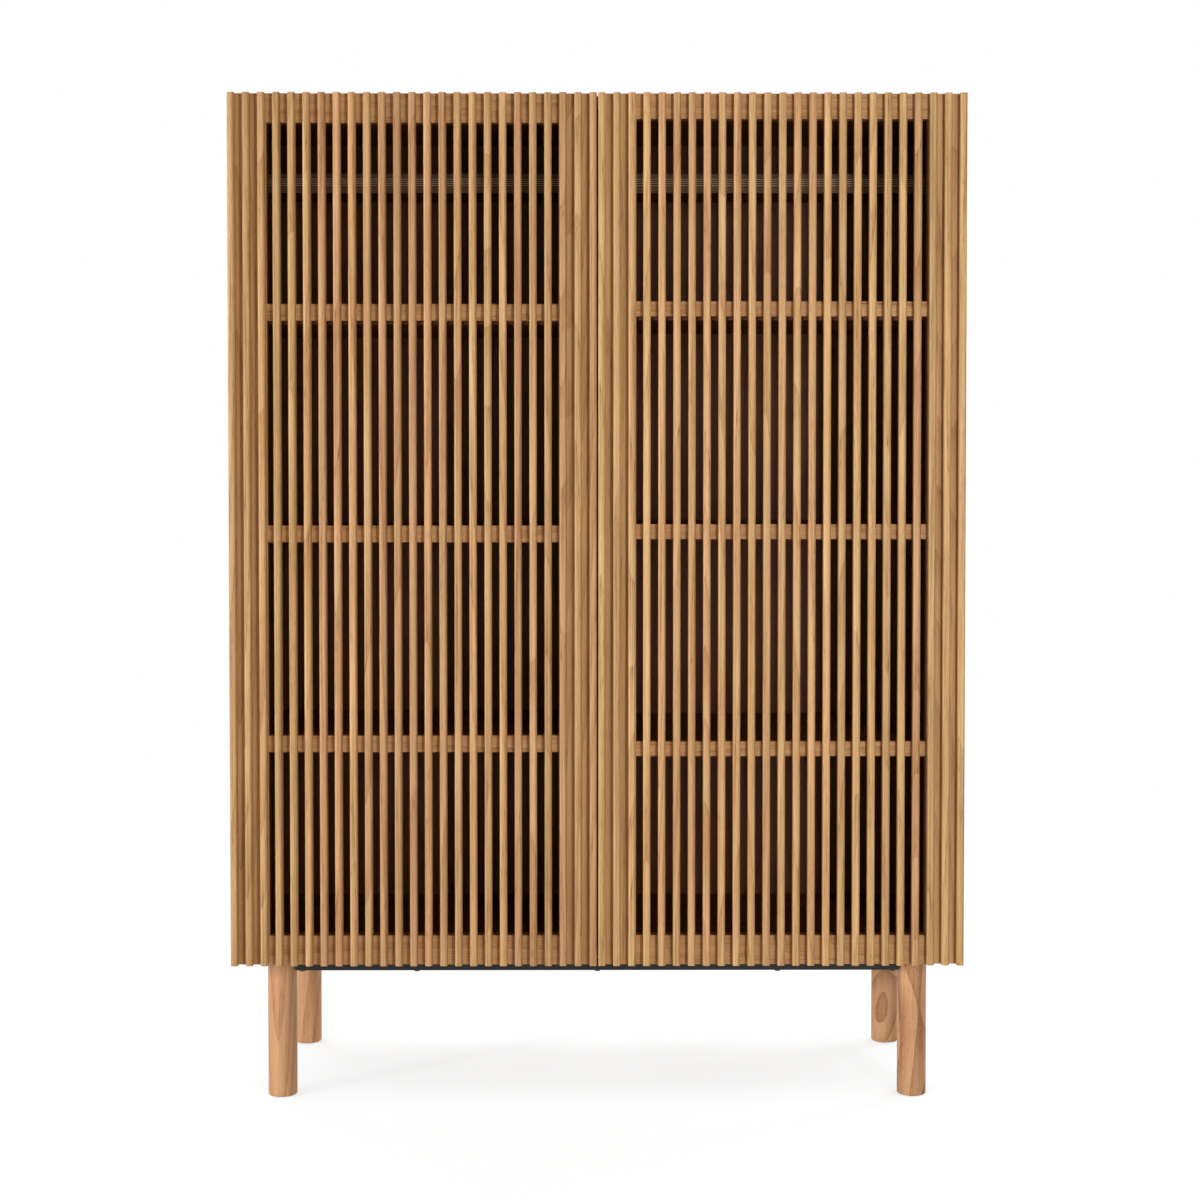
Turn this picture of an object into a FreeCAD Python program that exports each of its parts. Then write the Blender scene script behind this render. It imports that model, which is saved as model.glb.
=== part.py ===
"""Louvred door cabinet: an oak carcass on four turned legs, closed by two doors of upright slats.

Millimetres. The origin is the middle of the footprint on the floor, +Z is up, the doors face -Y,
and +X is to the right of someone who stands in front of the doors.
"""
import FreeCAD, Part
import os
import Sketcher

V = FreeCAD.Vector
doc = FreeCAD.newDocument("louvred_door_cabinet")

# Driving dimensions. Each one is a plain number in the sheet and can be changed by itself.
SIZES = {
    "overall_width": 1000,
    "overall_depth": 400,
    "overall_height": 1375,
    "carcass_base": 195,          # floor to the underside of the carcass
    "panel": 18,                  # carcass boards and shelves
    "back_panel": 6,
    "back_rebate": 9,             # how far the back reaches into the boards round it
    "back_clearance": 0.5,
    # doors
    "door_reveal": 1,             # carcass side showing beside a door
    "door_seam": 2,               # between the two doors
    "door_drop": 3,               # how far the doors hang below the carcass
    "door_gap": 2.5,              # between the doors and the carcass
    "door_frame": 20,             # thickness of stiles and rails
    "stile_lip": 1,               # stile showing beyond its third slat
    "slat_count": 25,             # on each door
    "stile_slats": 3,             # of which on each stile
    "slat_width": 9.8,
    "slat_depth": 16,
    "slat_housing": 4.5,          # how deep a slat is let into the frame
    "slat_round": 3.2,            # radius of a slat's two front edges
    "slat_clearance": 0.1,        # each side of a slat in its housing
    "left_top_rail": 39.3,
    "right_top_rail": 34,
    "bottom_rail": 39.5,
    "left_mid_rail": 22.4,
    "right_mid_rail": 20,
    "left_upper_rail_z": 1080,    # heights of the middle lines of the rails above the floor
    "left_middle_rail_z": 780,
    "left_lower_rail_z": 494,
    "right_upper_rail_z": 1085,
    "right_middle_rail_z": 783,
    "right_lower_rail_z": 487,
    "tenon_length": 12,
    "tenon_thickness": 6,
    "tenon_offset": 6,            # from the front face of the frame
    "bore_spare": 1,              # left at the bottom of a mortise or a bolt's bore
    # shelves
    "shelf_drop": 3,              # shelf underside below the rail in front of it
    "shelf_setback": 16,
    "shelf_side_clearance": 1,
    "shelf_back_clearance": 2,
    "shelf_pin": 5,
    "shelf_pin_in": 8,
    "shelf_pin_out": 8,
    "shelf_pin_inset": 37,        # from the shelf's front and back edges
    "pin_clearance": 0.1,
    "top_shelf": 28,              # thickness of the short shelf at the top
    "top_shelf_z": 1271.5,
    "top_shelf_depth": 124,
    # underframe and legs
    "leg": 40,
    "leg_spread": 873,            # centre to centre across the cabinet
    "front_leg_setback": 26,      # middle of the front legs from the front edge of the carcass
    "back_leg_inset": 60,         # middle of the back legs from the back of the carcass
    "leg_edge": 1.5,              # chamfer at the ends of a leg
    "leg_plate": 64,              # across the cabinet
    "leg_plate_depth": 50,
    "leg_plate_thickness": 4,
    "leg_bolt": 8,
    "leg_bolt_in": 40,            # how far the bolt reaches into the leg
    "glide": 30,
    "glide_in": 5,
    "glide_out": 1,
    "tube_width": 25,
    "tube_height": 20,
    "tube_wall": 2,
    "tube_round": 2,
    "weld_gap": 0.3,
    "frame_bolt": 6,
    "frame_bolt_clearance": 0.3,
    "frame_bolt_in": 13,          # how far the bolt reaches into the bottom panel
    "frame_bolt_head": 10.5,
    "frame_bolt_head_height": 3,
    "frame_bolt_spacing": 250,    # from the middle bolt to the next
    "plate_hole": 27.5,           # from the middle of a plate to its two bolts
    # hinges
    "pivot_in": 9,                # pivot from the outer edge of the door
    "pivot_deep": 9,              # pivot from the back face of the door
    "pivot_pin": 2.4,
    "pivot_pin_length": 18.2,
    "pivot_clearance": 0.05,
    "hinge_eye": 4.4,
    "hinge_link": 7,              # width of the arm inside the cup
    "hinge_arm": 16,              # width of the arm on its plate
    "hinge_arm_thickness": 2,
    "hinge_arm_length": 56,       # from the pivot to the back end of the arm
    "hinge_plate_thickness": 4,
    "hinge_plate_width": 14,
    "hinge_plate_length": 44,
    "hinge_plate_setback": 8,     # from the front edge of the carcass
    "hinge_wing": 48,
    "hinge_wing_width": 14,
    "hinge_wing_thickness": 2,
    "cup": 35,
    "cup_inset": 22.5,            # middle of the cup from the outer edge of the door
    "cup_depth": 12.5,
    "cup_clearance": 0.1,
    "cup_wall": 1,
    "cup_flange": 37,
    "cup_flange_thickness": 1,
    "cup_ear": 52,
    "cup_ear_width": 14,
    "stile_round": 4,             # the hinge stile's back edge, which swings past the carcass
    "hinge_end": 97,              # first and last hinge from the ends of the door
    "second_hinge_z": 640,
    "third_hinge_z": 935,
    # latches and buffers
    "latch_width": 14,
    "latch_height": 12,
    "latch_length": 50,
    "latch_setback": 2,
    "latch_inset": 2,             # from the centre divider
    "plunger": 7,
    "plunger_clearance": 0.2,
    "plunger_length": 36,
    "plunger_travel": 3,
    "plunger_gap": 0.3,           # tip to strike plate
    "plunger_edge": 0.8,
    "strike": 13,
    "strike_thickness": 1,
    "buffer": 8,
    "buffer_gap": 0.3,
    "buffer_x": 30,               # from the middle of the cabinet
}

# What follows from the driving dimensions, worked out once for every piece that needs it.
FITS = {
    "half_width": "Sizes.overall_width / 2",
    "inside_half": "Fits.half_width - Sizes.panel",
    "back_y": "Sizes.overall_depth / 2",
    "slat_front_y": "-Sizes.overall_depth / 2",
    "frame_front_y": "Fits.slat_front_y + Sizes.slat_depth - Sizes.slat_housing",
    "frame_back_y": "Fits.frame_front_y + Sizes.door_frame",
    "carcass_front_y": "Fits.frame_back_y + Sizes.door_gap",
    "back_face_y": "Fits.back_y - Sizes.back_panel",
    "carcass_depth": "Fits.back_y - Fits.carcass_front_y",
    "inside_depth": "Fits.back_face_y - Fits.carcass_front_y",
    "top_z": "Sizes.overall_height - Sizes.panel",
    "floor_z": "Sizes.carcass_base + Sizes.panel",
    "side_height": "Fits.top_z - Sizes.carcass_base",
    "bay_width": "Fits.inside_half - Sizes.panel / 2",
    # doors
    "door_width": "Fits.half_width - Sizes.door_reveal - Sizes.door_seam / 2",
    "door_base_z": "Sizes.carcass_base - Sizes.door_drop",
    "door_height": "Sizes.overall_height - Fits.door_base_z",
    "slat_pitch": "(Fits.door_width - Sizes.slat_width) / (Sizes.slat_count - 1)",
    "stile_width": "(Sizes.stile_slats - 1) * Fits.slat_pitch + Sizes.slat_width + Sizes.stile_lip",
    "opening_width": "Fits.door_width - 2 * Fits.stile_width",
    "housing_width": "Sizes.slat_width + 2 * Sizes.slat_clearance",
    "rail_slats": "Sizes.slat_count - 2 * Sizes.stile_slats",
    "first_rail_slat": "Sizes.stile_slats * Fits.slat_pitch - Fits.stile_width",
    # shelves
    "shelf_width": "Fits.bay_width - 2 * Sizes.shelf_side_clearance",
    "shelf_depth": "Fits.inside_depth - Sizes.shelf_setback - Sizes.shelf_back_clearance",
    "shelf_front_y": "Fits.carcass_front_y + Sizes.shelf_setback",
    "front_pin_y": "Fits.shelf_front_y + Sizes.shelf_pin_inset",
    "back_pin_y": "Fits.shelf_front_y + Fits.shelf_depth - Sizes.shelf_pin_inset",
    "pin_hole": "Sizes.shelf_pin + 2 * Sizes.pin_clearance",
    # underframe
    "leg_x": "Sizes.leg_spread / 2",
    "front_leg_y": "Fits.carcass_front_y + Sizes.front_leg_setback",
    "back_leg_y": "Fits.back_y - Sizes.back_leg_inset",
    "leg_top_z": "Sizes.carcass_base - Sizes.leg_plate_thickness",
    "tube_z": "Sizes.carcass_base - Sizes.tube_height",
    "tube_end": "Sizes.leg / 2 + Sizes.weld_gap",
    "long_tube": "Sizes.leg_spread - 2 * Fits.tube_end",
    "short_tube": "Fits.back_leg_y - Fits.front_leg_y - 2 * Fits.tube_end",
    "long_cope": "Sizes.leg_plate / 2 + Sizes.weld_gap - Fits.tube_end",
    "short_cope": "Sizes.leg_plate_depth / 2 + Sizes.weld_gap - Fits.tube_end",
    "bolt_hole": "Sizes.frame_bolt + 2 * Sizes.frame_bolt_clearance",
    "end_bolt_x": "Fits.leg_x - Sizes.plate_hole",
    "plate_bolt_x": "Fits.leg_x + Sizes.plate_hole",
    # hinges, for the left door; the right one is their mirror image
    "pivot_x": "-Fits.half_width + Sizes.door_reveal + Sizes.pivot_in",
    "pivot_y": "Fits.frame_back_y - Sizes.pivot_deep",
    "cup_x": "-Fits.half_width + Sizes.door_reveal + Sizes.cup_inset",
    "arm_x": "-Fits.inside_half + Sizes.hinge_plate_thickness - Fits.pivot_x",
    "first_hinge_z": "Fits.door_base_z + Sizes.hinge_end",
    "last_hinge_z": "Sizes.overall_height - Sizes.hinge_end",
    # latches
    "latch_x": "Sizes.panel / 2 + Sizes.latch_inset + Sizes.latch_width / 2",
    "latch_z": "Fits.top_z - Sizes.latch_height / 2",
    "latch_front_y": "Fits.carcass_front_y + Sizes.latch_setback",
    "tip_y": "Fits.frame_back_y + Sizes.strike_thickness + Sizes.plunger_gap",
}


def fill_sheet(name, values):
    """A spreadsheet with one aliased cell for each value."""
    sheet = doc.addObject("Spreadsheet::Sheet", name)
    for row, (alias, value) in enumerate(values.items(), start=1):
        sheet.set(f"A{row}", alias)
        sheet.set(f"B{row}", value if isinstance(value, str) else str(value))
        sheet.setAlias(f"B{row}", alias)
    return sheet


sizes = fill_sheet("Sizes", SIZES)
doc.recompute()
fits = fill_sheet("Fits", {alias: "=" + formula for alias, formula in FITS.items()})
doc.recompute()


def number(expression):
    """The value that an expression has now, to draw a sketch close to where its constraints put it."""
    return float(sizes.evalExpression(expression))


# ---------------------------------------------------------------- drawing helpers

# For each sketch plane: which of the body's axes its x, y and normal follow, and the normal's sign.
PLANES = {"XY": (0, 1, 2, 1), "XZ": (0, 2, 1, -1), "YZ": (1, 2, 0, 1)}
NORMAL_TO = {"X": "YZ", "Y": "XZ", "Z": "XY"}


def new_body(label, corner=("0", "0", "0")):
    """An empty body whose origin is at the given place."""
    body = doc.addObject("PartDesign::Body", label)
    for axis, expression in zip("xyz", corner):
        body.setExpression(f"Placement.Base.{axis}", expression)
    return body


def origin_feature(body, role):
    return next(feature for feature in body.Origin.OriginFeatures if feature.Role == role)


def sketch_at(body, plane, at):
    """A sketch on one of the body's own planes, with its origin moved to a point of the body."""
    along_x, along_y, along_normal, sign = PLANES[plane]
    sketch = body.newObject("Sketcher::SketchObject", "Sketch")
    sketch.AttachmentSupport = [(origin_feature(body, f"{plane}_Plane"), "")]
    sketch.MapMode = "FlatFace"
    sketch.setExpression("AttachmentOffset.Base.x", at[along_x])
    sketch.setExpression("AttachmentOffset.Base.y", at[along_y])
    sketch.setExpression("AttachmentOffset.Base.z", f"{sign} * ({at[along_normal]})")
    return sketch


def size_constraint(sketch, kind, places, name, expression):
    index = sketch.addConstraint(Sketcher.Constraint(kind, *places, number(expression)))
    sketch.renameConstraint(index, name)
    sketch.setExpression(f"Constraints.{name}", expression)


def draw_rectangle(sketch, width, height):
    """A rectangle from the sketch's origin."""
    draw_outline(sketch, [("0", "0"), (width, "0"), (width, height), ("0", height)])


def draw_outline(sketch, points):
    """A closed outline of straight lines. A point's coordinates are expressions, none below zero."""
    corners = [V(number(x), number(y), 0) for x, y in points]
    first = sketch.GeometryCount
    for i, corner in enumerate(corners):
        sketch.addGeometry(Part.LineSegment(corner, corners[(i + 1) % len(corners)]), False)
    for i, (x, y) in enumerate(points):
        following = first + (i + 1) % len(points)
        sketch.addConstraint(Sketcher.Constraint("Coincident", first + i, 2, following, 1))
        for kind, expression, axis in (("DistanceX", x, -2), ("DistanceY", y, -1)):
            if expression == "0":
                sketch.addConstraint(Sketcher.Constraint("PointOnObject", first + i, 1, axis))
            else:
                name = f"{kind.lower()}_{first + i}"
                size_constraint(sketch, kind, (-1, 1, first + i, 1), name, expression)


def draw_circle(sketch, diameter):
    """A circle round the sketch's origin."""
    circle = sketch.addGeometry(Part.Circle(V(0, 0, 0), V(0, 0, 1), number(diameter) / 2), False)
    sketch.addConstraint(Sketcher.Constraint("Coincident", circle, 3, -1, 1))
    size_constraint(sketch, "Diameter", (circle,), f"diameter_{circle}", diameter)


def add(body, plane, at, draw, length, towards=1):
    """Adds a prism: what draw makes on the plane, taken along its axis (1) or against it (-1)."""
    sketch = sketch_at(body, plane, at)
    draw(sketch)
    pad = body.newObject("PartDesign::Pad", "Pad")
    pad.Profile = sketch
    pad.setExpression("Length", length)
    pad.Reversed = towards != PLANES[plane][3]
    doc.recompute()
    return pad


def take(body, plane, at, draw, length, towards=-1):
    """Takes a prism away, along the plane's axis (1) or against it (-1)."""
    before = body.Shape.Volume
    sketch = sketch_at(body, plane, at)
    draw(sketch)
    pocket = body.newObject("PartDesign::Pocket", "Pocket")
    pocket.Profile = sketch
    pocket.setExpression("Length", length)
    pocket.Reversed = towards == PLANES[plane][3]
    doc.recompute()
    if body.Shape.Volume >= before:
        raise RuntimeError(f"a pocket in {body.Label} removes nothing")
    return pocket


def board(label, corner, size):
    """A rectangular board from its lowest corner."""
    body = new_body(label, corner)
    add(body, "XY", ("0", "0", "0"), lambda s: draw_rectangle(s, size[0], size[1]), size[2])
    return body


def take_box(body, corner, size):
    """Cuts a rectangular housing, rebate, notch or mortise, given in the body's own frame."""
    top = (corner[0], corner[1], f"{corner[2]} + {size[2]}")
    return take(body, "XY", top, lambda s: draw_rectangle(s, size[0], size[1]), size[2])


def bore(body, axis, towards, mouth, diameter, depth):
    """Drills a round hole from its mouth along an axis of the body."""
    return take(body, NORMAL_TO[axis], mouth, lambda s: draw_circle(s, diameter), depth, towards)


def repeat(body, feature, axis, spacing, count):
    """Repeats a feature along one of the body's axes."""
    pattern = body.newObject("PartDesign::LinearPattern", "Pattern")
    pattern.Originals = [feature]
    pattern.Direction = (origin_feature(body, f"{axis}_Axis"), [""])
    pattern.Mode = "Spacing"
    pattern.setExpression("Offset", spacing)
    pattern.setExpression("Occurrences", count)
    body.Tip = pattern
    doc.recompute()
    return pattern


def dress(body, kind, size_name, size, chosen):
    """Rounds or bevels every edge of the body whose middle point is chosen."""
    base = body.Tip
    names = []
    for i, edge in enumerate(base.Shape.Edges, start=1):
        middle = edge.valueAt((edge.FirstParameter + edge.LastParameter) / 2)
        if chosen(middle, edge):
            names.append(f"Edge{i}")
    if not names:
        raise RuntimeError(f"no edge of {body.Label} is chosen")
    feature = body.newObject(f"PartDesign::{kind}", kind)
    feature.Base = (base, names)
    feature.setExpression(size_name, size)
    doc.recompute()
    return feature


def mirrored(label, source):
    """The right-hand piece that mirrors a left-hand one."""
    mirror = doc.addObject("Part::Mirroring", label)
    mirror.Source = source
    mirror.Base = V(0, 0, 0)
    mirror.Normal = V(1, 0, 0)
    return mirror


def group(label, master, places, flip=False):
    """One node of loose identical pieces: the master's solid at each place, or its mirror image."""
    solid = master.Shape.copy()
    solid.Placement = FreeCAD.Placement()
    if flip:
        solid = solid.mirror(V(0, 0, 0), V(1, 0, 0))
    copies = []
    for place in places:
        copy = solid.copy()
        copy.translate(V(*place))
        copies.append(copy)
    node = doc.addObject("Part::Feature", label)
    node.Shape = Part.makeCompound(copies)
    return node


def gather(node, extra):
    """Moves the pieces of one group into another."""
    node.Shape = Part.makeCompound(node.Shape.Solids + extra.Shape.Solids)
    doc.removeObject(extra.Name)


def near(a, b):
    return abs(a - b) < 1e-4


nodes = []
S = "Sizes."
F = "Fits."

# ---------------------------------------------------------------- carcass

left_side = board(
    "left_side_panel",
    (f"-{F}half_width", f"{F}carcass_front_y", f"{S}carcass_base"),
    (f"{S}panel", f"{F}carcass_depth", f"{F}side_height"),
)
take_box(
    left_side,
    (f"{S}panel - {S}back_rebate", f"{F}inside_depth", "0"),
    (f"{S}back_rebate", f"{S}back_panel", f"{F}side_height"),
)

top_panel = board(
    "top_panel",
    (f"-{F}half_width", f"{F}carcass_front_y", f"{F}top_z"),
    (f"{S}overall_width", f"{F}carcass_depth", f"{S}panel"),
)
take_box(
    top_panel,
    (f"{S}panel - {S}back_rebate", f"{F}inside_depth", "0"),
    (f"{S}overall_width - 2 * ({S}panel - {S}back_rebate)", f"{S}back_panel", f"{S}back_rebate"),
)

bottom_panel = board(
    "bottom_panel",
    (f"-{F}inside_half", f"{F}carcass_front_y", f"{S}carcass_base"),
    (f"2 * {F}inside_half", f"{F}carcass_depth", f"{S}panel"),
)
take_box(
    bottom_panel,
    ("0", f"{F}inside_depth", f"{S}panel - {S}back_rebate"),
    (f"2 * {F}inside_half", f"{S}back_panel", f"{S}back_rebate"),
)

divider = board(
    "centre_divider",
    (f"-{S}panel / 2", f"{F}carcass_front_y", f"{F}floor_z"),
    (f"{S}panel", f"{F}inside_depth", f"{F}top_z - {F}floor_z"),
)

left_back = board(
    "left_back_panel",
    (
        f"-{F}inside_half - {S}back_rebate + {S}back_clearance",
        f"{F}back_face_y",
        f"{F}floor_z - {S}back_rebate + {S}back_clearance",
    ),
    (
        f"{F}inside_half + {S}back_rebate - 1.5 * {S}back_clearance",
        f"{S}back_panel",
        f"{F}top_z - {F}floor_z + 2 * {S}back_rebate - 2 * {S}back_clearance",
    ),
)

left_top_shelf = board(
    "left_top_shelf",
    (f"-{F}inside_half", f"{F}back_face_y - {S}top_shelf_depth", f"{S}top_shelf_z"),
    (f"{F}bay_width", f"{S}top_shelf_depth", f"{S}top_shelf"),
)
nodes += [left_side, top_panel, bottom_panel, divider, left_back, left_top_shelf]
nodes.append(mirrored("right_back_panel", left_back))
nodes.append(mirrored("right_top_shelf", left_top_shelf))

# ---------------------------------------------------------------- shelves and their pins

LEVELS = ("upper", "middle", "lower")


def shelf_z(side, level):
    """A shelf's underside lies a little below the door rail that hides its edge."""
    return f"({S}{side}_{level}_rail_z - {S}{side}_mid_rail / 2 - {S}shelf_drop)"


PIN_ROWS = (f"{F}front_pin_y", f"{F}back_pin_y")


def pin_z(side, level):
    return f"({shelf_z(side, level)} - {S}shelf_pin / 2)"


def drill_pin_holes(panel, side, mouth_x, towards, base_z):
    """Two holes for each shelf of one bay, in the face of a panel that looks into it."""
    for level in LEVELS:
        for row in PIN_ROWS:
            mouth = (mouth_x, f"{row} - {F}carcass_front_y", f"{pin_z(side, level)} - {base_z}")
            bore(panel, "X", towards, mouth, f"{F}pin_hole", f"{S}shelf_pin_in + {S}pin_clearance")


# The two bays' rails differ in height, so the right side panel is drilled on its own.
right_side = board(
    "right_side_panel",
    (f"{F}inside_half", f"{F}carcass_front_y", f"{S}carcass_base"),
    (f"{S}panel", f"{F}carcass_depth", f"{F}side_height"),
)
take_box(
    right_side,
    ("0", f"{F}inside_depth", "0"),
    (f"{S}back_rebate", f"{S}back_panel", f"{F}side_height"),
)
nodes.append(right_side)
drill_pin_holes(left_side, "left", f"{S}panel", -1, f"{S}carcass_base")
drill_pin_holes(right_side, "right", "0", 1, f"{S}carcass_base")
drill_pin_holes(divider, "left", "0", 1, f"{F}floor_z")
drill_pin_holes(divider, "right", f"{S}panel", -1, f"{F}floor_z")

BAY_START = {"left": f"-{F}inside_half", "right": f"{S}panel / 2"}
for side in ("left", "right"):
    for level in LEVELS:
        shelf = board(
            f"{side}_{level}_shelf",
            (f"{BAY_START[side]} + {S}shelf_side_clearance", f"{F}shelf_front_y", shelf_z(side, level)),
            (f"{F}shelf_width", f"{F}shelf_depth", f"{S}panel"),
        )
        nodes.append(shelf)

pin_master = new_body("shelf_pin_master")
add(
    pin_master,
    "YZ",
    (f"-{S}shelf_pin_in", "0", "0"),
    lambda s: draw_circle(s, f"{S}shelf_pin"),
    f"{S}shelf_pin_in + {S}shelf_pin_out",
)
pin_places = {"outward": [], "inward": []}
for side, wall in (("left", -1), ("right", 1)):
    for level in LEVELS:
        for row in PIN_ROWS:
            y = number(row)
            z = number(pin_z(side, level))
            faces = sorted((wall * fits.inside_half, wall * sizes.panel / 2))
            pin_places["outward"].append((faces[0], y, z))
            pin_places["inward"].append((faces[1], y, z))
pins = group("shelf_pins", pin_master, pin_places["outward"])
gather(pins, group("inward_pins", pin_master, pin_places["inward"], flip=True))
nodes.append(pins)

# ---------------------------------------------------------------- doors


def groove_for_slats(body, first, count, height):
    """Upright housings in the front face, one for each slat that crosses the piece."""
    housing = take_box(
        body,
        (f"{first} - {S}slat_clearance", "0", "0"),
        (f"{F}housing_width", f"{S}slat_housing", height),
    )
    repeat(body, housing, "X", f"{F}slat_pitch", count)


def door_rails(side):
    """Each rail of a door: its name, underside and height."""
    mid = f"{S}{side}_mid_rail"
    rails = [("top_rail", f"{S}overall_height - {S}{side}_top_rail", f"{S}{side}_top_rail")]
    for level in LEVELS:
        rails.append((f"{level}_rail", f"{S}{side}_{level}_rail_z - {mid} / 2", mid))
    rails.append(("bottom_rail", f"{F}door_base_z", f"{S}bottom_rail"))
    return rails


HINGE_HEIGHTS = (
    f"{F}first_hinge_z",
    f"{S}second_hinge_z",
    f"{S}third_hinge_z",
    f"{F}last_hinge_z",
)


def make_stile(side, role, outer_x, inner_is_right):
    """A stile with its slat grooves and a mortise for every rail; the hinge stile also has cup bores."""
    stile = board(
        f"{side}_{role}_stile",
        (outer_x, f"{F}frame_front_y", f"{F}door_base_z"),
        (f"{F}stile_width", f"{S}door_frame", f"{F}door_height"),
    )
    if role == "hinge":
        edge_x = 0 if inner_is_right else fits.stile_width
        dress(
            stile, "Fillet", "Radius", f"{S}stile_round",
            lambda middle, edge: near(middle.x, edge_x) and near(middle.y, sizes.door_frame),
        )
    slats_start = "0" if inner_is_right else f"{S}stile_lip"
    groove_for_slats(stile, slats_start, f"{S}stile_slats", f"{F}door_height")
    depth = f"({S}tenon_length + {S}bore_spare)"
    mortise_x = f"{F}stile_width - {depth}" if inner_is_right else "0"
    for _, rail_z, height in door_rails(side):
        take_box(
            stile,
            (mortise_x, f"{S}tenon_offset", f"{rail_z} - {F}door_base_z + {tenon_rise(height)}"),
            (depth, f"{S}tenon_thickness", tenon_height(height)),
        )
    if role == "hinge":
        cup_x = f"{S}cup_inset" if inner_is_right else f"{F}stile_width - {S}cup_inset"
        for height in HINGE_HEIGHTS:
            mouth = (cup_x, f"{S}door_frame", f"{height} - {F}door_base_z")
            bore(stile, "Y", -1, mouth, f"{S}cup", f"{S}cup_depth + {S}cup_clearance")
    return stile


def tenon_rise(height):
    """A tenon is a quarter shorter than its rail and sits in the middle of it."""
    return f"({height}) / 8"


def tenon_height(height):
    return f"({height}) * 3 / 4"


def make_rail(side, name, rail_z, height, opening_x):
    """A rail between the stiles, tenoned at both ends and notched for the slats that cross it."""
    rail = board(
        f"{side}_{name}",
        (opening_x, f"{F}frame_front_y", rail_z),
        (f"{F}opening_width", f"{S}door_frame", height),
    )
    groove_for_slats(rail, f"{F}first_rail_slat", f"{F}rail_slats", height)
    add(
        rail,
        "XY",
        (f"-{S}tenon_length", f"{S}tenon_offset", tenon_rise(height)),
        lambda s: draw_rectangle(
            s, f"{F}opening_width + 2 * {S}tenon_length", f"{S}tenon_thickness"
        ),
        tenon_height(height),
    )
    return rail


def draw_slat(sketch):
    """A slat's section: square at the back, its two front edges rounded."""
    width, depth, radius = sizes.slat_width, sizes.slat_depth, sizes.slat_round
    corners = [V(0, radius, 0), V(0, depth, 0), V(width, depth, 0), V(width, radius, 0)]
    for start, end in zip(corners, corners[1:]):
        sketch.addGeometry(Part.LineSegment(start, end), False)
    sketch.addGeometry(Part.LineSegment(V(width - radius, 0, 0), V(radius, 0, 0)), False)
    half = 2 ** -0.5
    for centre, turn in ((V(radius, radius, 0), -1), (V(width - radius, radius, 0), 1)):
        ends = (centre + V(turn * radius, 0, 0), centre + V(0, -radius, 0))
        bend = centre + V(turn * radius * half, -radius * half, 0)
        sketch.addGeometry(Part.Arc(ends[0], bend, ends[1]), False)
    left, back, right, front, left_round, right_round = range(6)
    joined = ((left, 2, back, 1), (back, 2, right, 1))
    for place in joined:
        sketch.addConstraint(Sketcher.Constraint("Coincident", *place))
    for line, point, arc in ((left, 1, left_round), (front, 2, left_round),
                             (right, 2, right_round), (front, 1, right_round)):
        touching = min((1, 2), key=lambda end: distance(sketch, line, point, arc, end))
        sketch.addConstraint(Sketcher.Constraint("Tangent", line, point, arc, touching))
    sketch.addConstraint(Sketcher.Constraint("PointOnObject", left, 1, -2))
    sketch.addConstraint(Sketcher.Constraint("PointOnObject", front, 1, -1))
    sketch.addConstraint(Sketcher.Constraint("Vertical", left))
    sketch.addConstraint(Sketcher.Constraint("Vertical", right))
    sketch.addConstraint(Sketcher.Constraint("Horizontal", back))
    sketch.addConstraint(Sketcher.Constraint("Horizontal", front))
    sketch.addConstraint(Sketcher.Constraint("Equal", left_round, right_round))
    size_constraint(sketch, "DistanceX", (back, 1, back, 2), "slat_width", f"{S}slat_width")
    size_constraint(sketch, "DistanceY", (-1, 1, back, 1), "slat_depth", f"{S}slat_depth")
    size_constraint(sketch, "Radius", (left_round,), "slat_round", f"{S}slat_round")


def distance(sketch, line, point, arc, end):
    """How far a line's end point lies from an arc's."""
    return sketch.getPoint(line, point).distanceToPoint(sketch.getPoint(arc, end))


def make_slats(side, start_x):
    """All the slats of a door: one drawn, and the rest patterned at the slat pitch."""
    slats = new_body(f"{side}_slats", (start_x, f"{F}slat_front_y", f"{F}door_base_z"))
    slats.AllowCompound = True
    one = add(slats, "XY", ("0", "0", "0"), draw_slat, f"{F}door_height")
    repeat(slats, one, "X", f"{F}slat_pitch", f"{S}slat_count")
    return slats


DOOR_START = {
    "left": f"-{F}half_width + {S}door_reveal",
    "right": f"{S}door_seam / 2",
}
STILE_ROLES = {"left": ("hinge", "meeting"), "right": ("meeting", "hinge")}
for side in ("left", "right"):
    start = DOOR_START[side]
    first_role, second_role = STILE_ROLES[side]
    nodes.append(make_stile(side, first_role, start, True))
    second_x = f"{start} + {F}door_width - {F}stile_width"
    nodes.append(make_stile(side, second_role, second_x, False))
    for name, rail_z, height in door_rails(side):
        nodes.append(make_rail(side, name, rail_z, height, f"{start} + {F}stile_width"))
    nodes.append(make_slats(side, start))

# ---------------------------------------------------------------- hinges

# A hinge's own frame has its origin on the pivot, at the middle of the hinge's height.
CUP_X = f"({S}cup_inset - {S}pivot_in)"
DOOR_BACK = f"{S}pivot_deep"

cup = new_body("hinge_cup_master")
cup_middle = (CUP_X, DOOR_BACK, "0")
add(cup, "XZ", cup_middle, lambda s: draw_circle(s, f"{S}cup - 2 * {S}cup_clearance"), f"{S}cup_depth", -1)
add(cup, "XZ", cup_middle, lambda s: draw_circle(s, f"{S}cup_flange"), f"{S}cup_flange_thickness")
add(
    cup,
    "XZ",
    (f"{CUP_X} - {S}cup_ear_width / 2", DOOR_BACK, f"-{S}cup_ear / 2"),
    lambda s: draw_rectangle(s, f"{S}cup_ear_width", f"{S}cup_ear"),
    f"{S}cup_flange_thickness",
)
bore(
    cup, "Y", -1,
    (CUP_X, f"{DOOR_BACK} + {S}cup_flange_thickness", "0"),
    f"{S}cup - 2 * {S}cup_clearance - 2 * {S}cup_wall",
    f"{S}cup_flange_thickness + {S}cup_depth - {S}cup_wall",
)
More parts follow.
